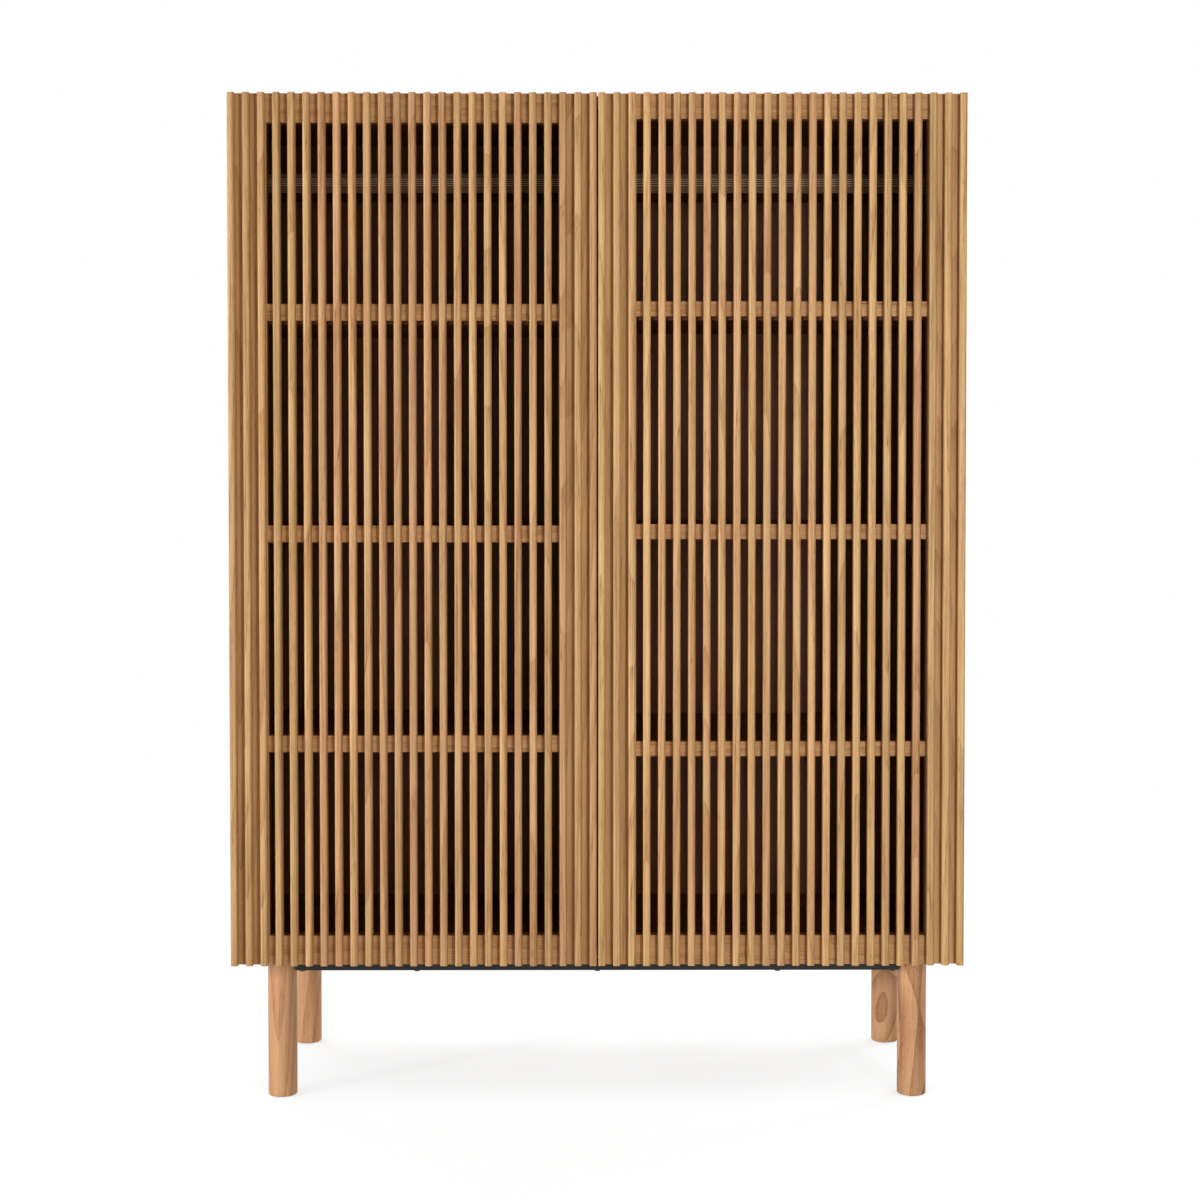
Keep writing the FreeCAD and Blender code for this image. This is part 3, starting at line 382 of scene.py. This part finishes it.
# %% [markdown]
# ## The short shelves at the top
# These two are plywood, and their front edge shows four thin pale layers with darker ones between
# them, and plain wood above and below. The shader reads the height above the shelf's underside and
# makes every other layer pale. The faces above and below have the dark stain.

# %% Plywood shelves
PLY_LAYER = 3.1 * MM
PLY_LOW, PLY_HIGH = 9.4 * MM, 21.8 * MM     # where the layers show, above the underside
PLY_PALE, PLY_CORE = srgb(236, 208, 176), srgb(160, 122, 92)


def ply_material(name, base_z, board):
    material, tree, shader = new_material(name)
    here = put(tree, "ShaderNodeTexCoord")
    place = stretched(tree, here.outputs["Object"], (0.05, 1, 1))
    stain = stain_colour(tree, place, board)
    height = put(tree, "ShaderNodeSeparateXYZ", {0: here.outputs["Object"]}).outputs[2]
    height = maths(tree, "SUBTRACT", height, base_z)
    layer = maths(tree, "DIVIDE", maths(tree, "SUBTRACT", height, PLY_LOW), PLY_LAYER)
    pale = span(tree, maths(tree, "PINGPONG", layer, 0.5), 0.2, 0.3)
    layers = blend(tree, pale, stain, PLY_PALE)
    above = maths(tree, "GREATER_THAN", height, PLY_LOW)
    shown = maths(tree, "MULTIPLY", above, maths(tree, "LESS_THAN", height, PLY_HIGH))
    edge = blend(tree, shown, PLY_CORE, layers)
    front = along(tree, here.outputs["Normal"], "Y")
    tree.links.new(blend(tree, front, stain, edge), shader.inputs["Base Color"])
    shader.inputs["Roughness"].default_value = 0.55
    shader.inputs["Specular IOR Level"].default_value = WOOD_SHINE
    return material


for side in SIDES:
    name = f"{side}_top_shelf"
    finish_node(name, ply_material(name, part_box(name)[0].z, board_number))
    board_number += 1.0

# %% [markdown]
# ## Legs
# A leg is turned from one piece, so the rings of the plank come out as long arches and ovals on
# the round surface. The same group does this by itself, because its noise is solid and fills space:
# a curved surface cuts it at changing depths. The legs are pinker and show more figure.

# %% Legs
for name, arch, figure in (
    ("front_left_leg", 1.0, 0.4),
    ("front_right_leg", 3.0, 0.65),
    ("back_left_leg", 1.5, 0.4),
    ("back_right_leg", 5.0, 0.65),
):
    material = wood_material(
        name, "Z", board_number, LEG_PALE, LEG_DEEP, figure, 0.4, 0.6, variety=0.3, arch=arch
    )
    finish_node(name, material)
    board_number += 1.0

# %% [markdown]
# ## Metal, rubber and plastic
# Powder coat is black with a faint orange peel, which a small bump gives. Nickel plate is a metal
# with a slight stretch of its roughness. Rubber and moulded plastic are matt, with fine grain.

# %% Hard finishes
WEAR_SCALE, WEAR_RANGE = 35, (0.3, 0.7)
WEAR_TONE, WEAR_DARKER = 0.25, 0.7
ROUGHNESS_SPREAD = 0.08
FINISH_RELIEF = 0.1 * MM


def plain_material(name, colour, metallic, roughness, grain_scale, bump):
    """A hard finish: even colour, roughness that wanders a little and a fine surface."""
    material, tree, shader = new_material(name)
    here = put(tree, "ShaderNodeTexCoord").outputs["Object"]
    fine = noise(tree, here, grain_scale, detail=2)
    wide = noise(tree, here, WEAR_SCALE, detail=3)
    tone = span(tree, wide, *WEAR_RANGE, 0.0, WEAR_TONE)
    darker = tuple(channel * WEAR_DARKER for channel in colour[:3]) + (1.0,)
    tree.links.new(blend(tree, tone, colour, darker), shader.inputs["Base Color"])
    half = ROUGHNESS_SPREAD / 2
    rough = span(tree, wide, *WEAR_RANGE, roughness - half, roughness + half)
    tree.links.new(rough, shader.inputs["Roughness"])
    relief = {"Height": fine, "Strength": bump, "Distance": FINISH_RELIEF}
    tree.links.new(put(tree, "ShaderNodeBump", relief).outputs[0], shader.inputs["Normal"])
    shader.inputs["Metallic"].default_value = metallic
    shader.inputs["Specular IOR Level"].default_value = 0.5 if metallic else 0.25
    return material


powder_coat = plain_material("black powder coat", srgb(26, 24, 24), 0.0, 0.5, 1200, 0.35)
black_oxide = plain_material("black oxide", srgb(34, 32, 32), 0.6, 0.45, 900, 0.1)
nickel = plain_material("nickel plate", srgb(186, 182, 174), 1.0, 0.3, 700, 0.05)
bright_steel = plain_material("bright steel", srgb(190, 190, 190), 1.0, 0.25, 700, 0.05)
rubber = plain_material("grey rubber", srgb(92, 90, 86), 0.0, 0.75, 900, 0.3)
black_plastic = plain_material("black plastic", srgb(38, 37, 36), 0.0, 0.55, 1500, 0.3)

FINISHED_NODES = {
    powder_coat: [
        "front_frame_tube", "back_frame_tube", "left_frame_tube", "right_frame_tube", "leg_plates",
    ],
    black_oxide: ["leg_bolts", "frame_bolts"],
    bright_steel: ["shelf_pins", "left_hinge_pins", "right_hinge_pins"],
    rubber: ["door_buffers"],
    black_plastic: ["leg_glides"],
    nickel: [],
}
for side in SIDES:
    FINISHED_NODES[nickel] += [f"{side}_hinge_{part}" for part in ("cups", "arms", "plates")]
    FINISHED_NODES[nickel].append(f"{side}_strike")
    FINISHED_NODES[black_plastic] += [f"{side}_latch_housing", f"{side}_latch_plunger"]
for material, names in FINISHED_NODES.items():
    for name in names:
        finish_node(name, material)

# %% [markdown]
# ## Where the screws go
# A node can hold several loose solids, such as the four mounting plates of one side. A CAD mesh
# comes as separate triangles, so a copy is merged by distance first, and then its connected islands
# are found by walking from edge to edge. Each island's box is enough to place its screws.

# %% Islands of a node
MERGE_DISTANCE = 0.001 * MM


def island_boxes(name):
    """The lowest and highest corner of each loose solid of a node, from the floor up."""
    shape = bmesh.new()
    shape.from_mesh(nodes[name].data)
    bmesh.ops.remove_doubles(shape, verts=shape.verts, dist=MERGE_DISTANCE)
    unseen = set(shape.verts)
    boxes = []
    while unseen:
        walk, island = [unseen.pop()], []
        while walk:
            corner = walk.pop()
            island.append(corner.co.copy())
            for edge in corner.link_edges:
                other = edge.other_vert(corner)
                if other in unseen:
                    unseen.remove(other)
                    walk.append(other)
        low = Vector(min(point[axis] for point in island) for axis in range(3))
        high = Vector(max(point[axis] for point in island) for axis in range(3))
        boxes.append((low, high))
    shape.free()
    return sorted(boxes, key=lambda box: box[0].z)


print("mounting plates on the left:", len(island_boxes("left_hinge_plates")))

# %% [markdown]
# ## One screw head
# A hinge screw has a low domed head with a cross recess. The dome is a short profile spun round
# the axis, and the recess is cut by a Boolean with two crossed boxes. One head is made, and the
# others are copies of it.

# %% Screw head
HEAD_RADIUS = 3.1 * MM
HEAD_HEIGHT = 0.75 * MM
HEAD_SUNK = 0.2 * MM          # the part of the head below the surface that it stands on
HEAD_RIM = 0.15 * MM
RECESS_LENGTH = 3.4 * MM
RECESS_WIDTH = 0.8 * MM
RECESS_DEPTH = 0.6 * MM
HEAD_SIDES = 20


def mesh_object(name, shape):
    mesh = bpy.data.meshes.new(name)
    shape.to_mesh(mesh)
    shape.free()
    made = bpy.data.objects.new(name, mesh)
    bpy.context.scene.collection.objects.link(made)
    return made


def spun(profile, sides):
    """A closed solid: a profile of (radius, height) points, from axis to axis, spun round Z."""
    shape = bmesh.new()
    points = [shape.verts.new((radius, 0, height)) for radius, height in profile]
    edges = [shape.edges.new(pair) for pair in zip(points, points[1:])]
    bmesh.ops.spin(
        shape, geom=points + edges, axis=(0, 0, 1), cent=(0, 0, 0), steps=sides,
        angle=2 * math.pi, use_merge=True,
    )
    bmesh.ops.remove_doubles(shape, verts=shape.verts, dist=MERGE_DISTANCE)
    bmesh.ops.recalc_face_normals(shape, faces=shape.faces)
    return shape


def box_shape(size, centre):
    shape = bmesh.new()
    bmesh.ops.create_cube(shape, size=1.0)
    bmesh.ops.transform(
        shape, verts=shape.verts, matrix=Matrix.Translation(centre) @ Matrix.Diagonal((*size, 1))
    )
    return shape


def cut(solid, cutter):
    """Takes the cutter out of the solid and deletes the cutter."""
    modifier = solid.modifiers.new("cut", "BOOLEAN")
    modifier.operation, modifier.solver, modifier.object = "DIFFERENCE", "EXACT", cutter
    evaluated = solid.evaluated_get(bpy.context.evaluated_depsgraph_get())
    mesh = bpy.data.meshes.new_from_object(evaluated)
    solid.modifiers.clear()
    solid.data = mesh
    bpy.data.objects.remove(cutter)


def make_screw_head():
    profile = [
        (0, -HEAD_SUNK),
        (HEAD_RADIUS, -HEAD_SUNK),
        (HEAD_RADIUS, HEAD_RIM),
        (0.85 * HEAD_RADIUS, 0.6 * HEAD_HEIGHT),
        (0.5 * HEAD_RADIUS, 0.93 * HEAD_HEIGHT),
        (0, HEAD_HEIGHT),
    ]
    head = mesh_object("screw_head", spun(profile, HEAD_SIDES))
    top = Vector((0, 0, HEAD_HEIGHT))
    for size in ((RECESS_LENGTH, RECESS_WIDTH), (RECESS_WIDTH, RECESS_LENGTH)):
        cutter = mesh_object("recess", box_shape((*size, 2 * RECESS_DEPTH), top))
        cut(head, cutter)
    return head


screw_head = make_screw_head()
print("screw head:", len(screw_head.data.polygons), "faces")

# %% [markdown]
# ## Screws by Geometry Nodes
# A small tree puts the head on every point of a cloud. The point's normal turns the head so that
# it stands on its surface, and a random spin round that normal keeps the cross recesses from lining
# up, as in real work. The tree ends in Realize Instances and Set Material, and the result is
# turned into a plain mesh that can ride on its body.

# %% Screw tree


def make_screw_tree():
    tree = bpy.data.node_groups.new("screws", "GeometryNodeTree")
    for label, kind in (("Points", "Geometry"), ("Head", "Object"), ("Finish", "Material")):
        tree.interface.new_socket(label, in_out="INPUT", socket_type=f"NodeSocket{kind}")
    tree.interface.new_socket("Seed", in_out="INPUT", socket_type="NodeSocketInt")
    tree.interface.new_socket("Screws", in_out="OUTPUT", socket_type="NodeSocketGeometry")
    given, result = put(tree, "NodeGroupInput").outputs, put(tree, "NodeGroupOutput").inputs
    head = put(tree, "GeometryNodeObjectInfo", {"Object": given["Head"]}).outputs["Geometry"]
    spot = put(tree, "GeometryNodeInputNamedAttribute", {"Name": "out"}, data_type="FLOAT_VECTOR")
    stand = put(tree, "FunctionNodeAlignRotationToVector", {"Vector": spot.outputs[0]}, axis="Z")
    spin = put(tree, "FunctionNodeRandomValue", data_type="FLOAT")
    spin.inputs[2].default_value, spin.inputs[3].default_value = 0.0, math.tau
    tree.links.new(given["Seed"], spin.inputs["Seed"])
    turn = put(
        tree, "FunctionNodeAxisAngleToRotation", {"Axis": (0, 0, 1), "Angle": spin.outputs[1]}
    )
    both = put(
        tree, "FunctionNodeRotateRotation",
        {"Rotation": stand.outputs[0], "Rotate By": turn.outputs[0]}, rotation_space="LOCAL",
    )
    placed = put(
        tree, "GeometryNodeInstanceOnPoints",
        {"Points": given["Points"], "Instance": head, "Rotation": both.outputs[0]},
    )
    real = put(tree, "GeometryNodeRealizeInstances", {"Geometry": placed.outputs[0]})
    finished = put(
        tree, "GeometryNodeSetMaterial", {"Geometry": real.outputs[0], "Material": given["Finish"]}
    )
    tree.links.new(finished.outputs[0], result["Screws"])
    return tree


screw_tree = make_screw_tree()


def set_input(modifier, label, value):
    """Sets a modifier's input by the identifier of the socket that has this label."""
    for item in modifier.node_group.interface.items_tree:
        if item.item_type == "SOCKET" and item.in_out == "INPUT" and item.name == label:
            modifier[item.identifier] = value


def plain_mesh(worked):
    """Replaces an object's modifiers by the mesh that they make."""
    evaluated = worked.evaluated_get(bpy.context.evaluated_depsgraph_get())
    mesh = bpy.data.meshes.new_from_object(evaluated)
    worked.modifiers.clear()
    worked.data = mesh


def make_screws(name, body, spots, seed, finish=nickel):
    """Screws at (place, outward direction) pairs, on one body."""
    mesh = bpy.data.meshes.new(name)
    mesh.from_pydata([place for place, _ in spots], [], [])
    outward = mesh.attributes.new("out", "FLOAT_VECTOR", "POINT")
    for item, (_, direction) in zip(outward.data, spots):
        item.vector = direction
    screws = bpy.data.objects.new(name, mesh)
    bpy.context.scene.collection.objects.link(screws)
    modifier = screws.modifiers.new("screws", "NODES")
    modifier.node_group = screw_tree
    for label, value in (("Head", screw_head), ("Finish", finish), ("Seed", seed)):
        set_input(modifier, label, value)
    plain_mesh(screws)
    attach(screws, body)
    print(name, len(spots), "screws,", len(screws.data.polygons), "faces")


# %% [markdown]
# ## Placing the screws
# The wings of a mounting plate take one screw each, and so do the ears of a cup. The latch
# housings are screwed up into the top board from below.

# %% Screws of hinges and latches
WING_INSET = 6 * MM           # from the end of a wing to its screw
WING_THICKNESS = 2 * MM
EAR_INSET = 3.6 * MM
LATCH_SCREW_INSET = 8 * MM    # from the back end of the housing, and half-way to the front


def plate_spots(side):
    outward = Vector((1 if side == "left" else -1, 0, 0))
    spots = []
    for low, high in island_boxes(f"{side}_hinge_plates"):
        wall = low.x if side == "left" else high.x
        for z in (low.z + WING_INSET, high.z - WING_INSET):
            place = Vector((wall, (low.y + high.y) / 2, z)) + outward * WING_THICKNESS
            spots.append((place, outward))
    return spots


def cup_spots(side):
    spots = []
    for low, high in island_boxes(f"{side}_hinge_cups"):
        for z in (low.z + EAR_INSET, high.z - EAR_INSET):
            spots.append((Vector(((low.x + high.x) / 2, high.y, z)), Vector((0, 1, 0))))
    return spots


def latch_spots(side):
    low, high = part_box(f"{side}_latch_housing")
    back = high.y - LATCH_SCREW_INSET
    return [
        (Vector(((low.x + high.x) / 2, y, low.z)), Vector((0, 0, -1)))
        for y in (back, (low.y + back) / 2)
    ]


for number, side in enumerate(SIDES):
    make_screws(f"{side}_plate_screws", "cabinet", plate_spots(side), 10 + number)
    make_screws(f"{side}_cup_screws", f"{side}_door", cup_spots(side), 20 + number)
    make_screws(f"{side}_latch_screws", "cabinet", latch_spots(side), 30 + number)
bpy.data.objects.remove(screw_head)

# %% [markdown]
# ## Floor and background
# The studio is white without a seam. The floor is a large disc that turns to plain white away from
# the cabinet, so no edge shows. Near it, a fifth of what is seen is the floor itself, with the
# shadows of the lamps. The rest is white, a little darker where an Ambient Occlusion node finds
# the cabinet above: this is the soft shade under it. Rays that only carry light from the floor to
# the cabinet see a plain pale floor. The world is white where it is seen, and weak as a lamp.

# %% Floor and world
FLOOR_RADIUS = 30.0
FLOOR_FADE_START, FLOOR_FADE_END = 0.9, 2.6
FLOOR_WHITE = 0.8             # share of plain white that the camera sees near the cabinet
FLOOR_LIFT = 0.6              # added to the light on the floor in the rest of it
SHADE_REACH = 0.4             # how far the floor looks for something above it
SHADE_DARK = 0.82             # the floor in the middle, under the cabinet
SHADE_RANGE = (0.28, 0.58)    # open sky at which the shade is full, and at which it ends
FLOOR_PAINT = (0.8, 0.8, 0.8, 1)
WHITE = (1, 1, 1, 1)
WORLD_LIGHT = 0.08


def is_seen(tree):
    """1 for the rays that show the background: seen directly, in a reflection or through glass."""
    path = put(tree, "ShaderNodeLightPath").outputs
    shown = maths(tree, "MAXIMUM", path["Is Camera Ray"], path["Is Glossy Ray"])
    return maths(tree, "MAXIMUM", shown, path["Is Transmission Ray"])


def make_floor():
    shape = bmesh.new()
    bmesh.ops.create_circle(shape, cap_ends=True, radius=FLOOR_RADIUS, segments=96)
    floor = mesh_object("floor", shape)
    material, tree, shader = new_material("studio floor")
    shader.inputs["Base Color"].default_value = FLOOR_PAINT
    shader.inputs["Roughness"].default_value = 0.9
    shader.inputs["Specular IOR Level"].default_value = 0.1
    place = put(tree, "ShaderNodeTexCoord").outputs["Object"]
    reach = put(tree, "ShaderNodeVectorMath", {0: place}, operation="LENGTH").outputs["Value"]
    faded = span(tree, reach, FLOOR_FADE_START, FLOOR_FADE_END, FLOOR_WHITE, 1.0)
    seen = is_seen(tree)
    lift = maths(tree, "MULTIPLY", seen, FLOOR_LIFT)
    glow = put(tree, "ShaderNodeEmission", {"Color": WHITE, "Strength": lift})
    lit = put(tree, "ShaderNodeAddShader", {0: shader.outputs[0], 1: glow.outputs[0]})
    sky = put(tree, "ShaderNodeAmbientOcclusion", {"Distance": SHADE_REACH}, samples=16)
    shade = span(tree, sky.outputs["AO"], *SHADE_RANGE, SHADE_DARK, 1.0)
    white = put(tree, "ShaderNodeEmission", {"Color": WHITE, "Strength": shade})
    factor = maths(tree, "MULTIPLY", faded, seen)
    mixed = put(tree, "ShaderNodeMixShader", {0: factor, 1: lit.outputs[0], 2: white.outputs[0]})
    tree.links.new(mixed.outputs[0], tree.nodes["Material Output"].inputs["Surface"])
    floor.data.materials.append(material)


def make_world():
    world = bpy.data.worlds.new("studio")
    world.use_nodes = True
    tree = world.node_tree
    background = tree.nodes["Background"]
    background.inputs["Color"].default_value = WHITE
    strength = span(tree, is_seen(tree), 0, 1, WORLD_LIGHT, 1.0)
    tree.links.new(strength, background.inputs["Strength"])
    bpy.context.scene.world = world


make_floor()
make_world()

# %% [markdown]
# ## Lamps
# Slats show their shape only if the light comes from the side. Two tall, narrow softboxes stand
# before the doors. The right one is 25 degrees off: every slat throws a shadow some 4 mm wide on
# the frame, which is the dark line in each gap. The left one is 55 degrees off. Its light stops at
# the slats, so they are paler than the frame behind them. A weak fill in front lights the inside, a
# lamp overhead the top board, and two behind the cabinet its back and sides.

# %% Lamps
DOORS_MIDDLE = (0, -0.2, 0.8)
BACK_MIDDLE = (0, 0.2, 0.8)
BACK_FOOT = (0, 0.3, 0)
LAMPS = [  # name, place, the point it is aimed at, width and height in metres, watts
    ("left softbox", (-3.9, -2.9, 1.0), DOORS_MIDDLE, (0.5, 2.0), 200),
    ("right softbox", (1.3, -3.0, 1.0), DOORS_MIDDLE, (0.2, 2.0), 49),
    ("front fill", (0, -3.8, 0.9), DOORS_MIDDLE, (0.6, 0.6), 4),
    ("overhead", (0, 1.3, 3.4), BACK_FOOT, (2.4, 1.6), 45),
    ("left back light", (-2.8, 3.0, 1.6), BACK_MIDDLE, (1.4, 1.8), 45),
    ("right back light", (3.2, 2.2, 1.6), BACK_MIDDLE, (1.4, 1.8), 80),
]
for name, place, target, size, watts in LAMPS:
    data = bpy.data.lights.new(name, "AREA")
    data.shape, data.size, data.size_y = "RECTANGLE", size[0], size[1]
    data.energy = watts
    lamp = bpy.data.objects.new(name, data)
    lamp.location = place
    lamp.rotation_euler = (Vector(target) - Vector(place)).to_track_quat("-Z", "Y").to_euler()
    bpy.context.scene.collection.objects.link(lamp)

# %% [markdown]
# ## Camera
# A long lens from well back, a little left of the middle and above the cabinet's centre. It looks
# slightly down, and a small vertical shift brings the rest of the framing, so that the uprights
# stay nearly parallel.

# %% Camera
CAMERA_PLACE = (-0.0118, -3.2, 0.885)
FOCAL_PIXELS, IMAGE_PIXELS, SENSOR = 2219, 1200, 36.0
LOOK_DOWN, LOOK_RIGHT = math.radians(1.69), math.radians(0.29)
SHIFT_Y = -0.065

data = bpy.data.cameras.new("camera")
data.sensor_width = SENSOR
data.lens = FOCAL_PIXELS / IMAGE_PIXELS * SENSOR
data.shift_y = SHIFT_Y
camera = bpy.data.objects.new("camera", data)
camera.location = CAMERA_PLACE
camera.rotation_euler = (math.pi / 2 - LOOK_DOWN, 0, -LOOK_RIGHT)
bpy.context.scene.collection.objects.link(camera)
bpy.context.scene.camera = camera
bpy.context.scene.view_settings.view_transform = "Standard"
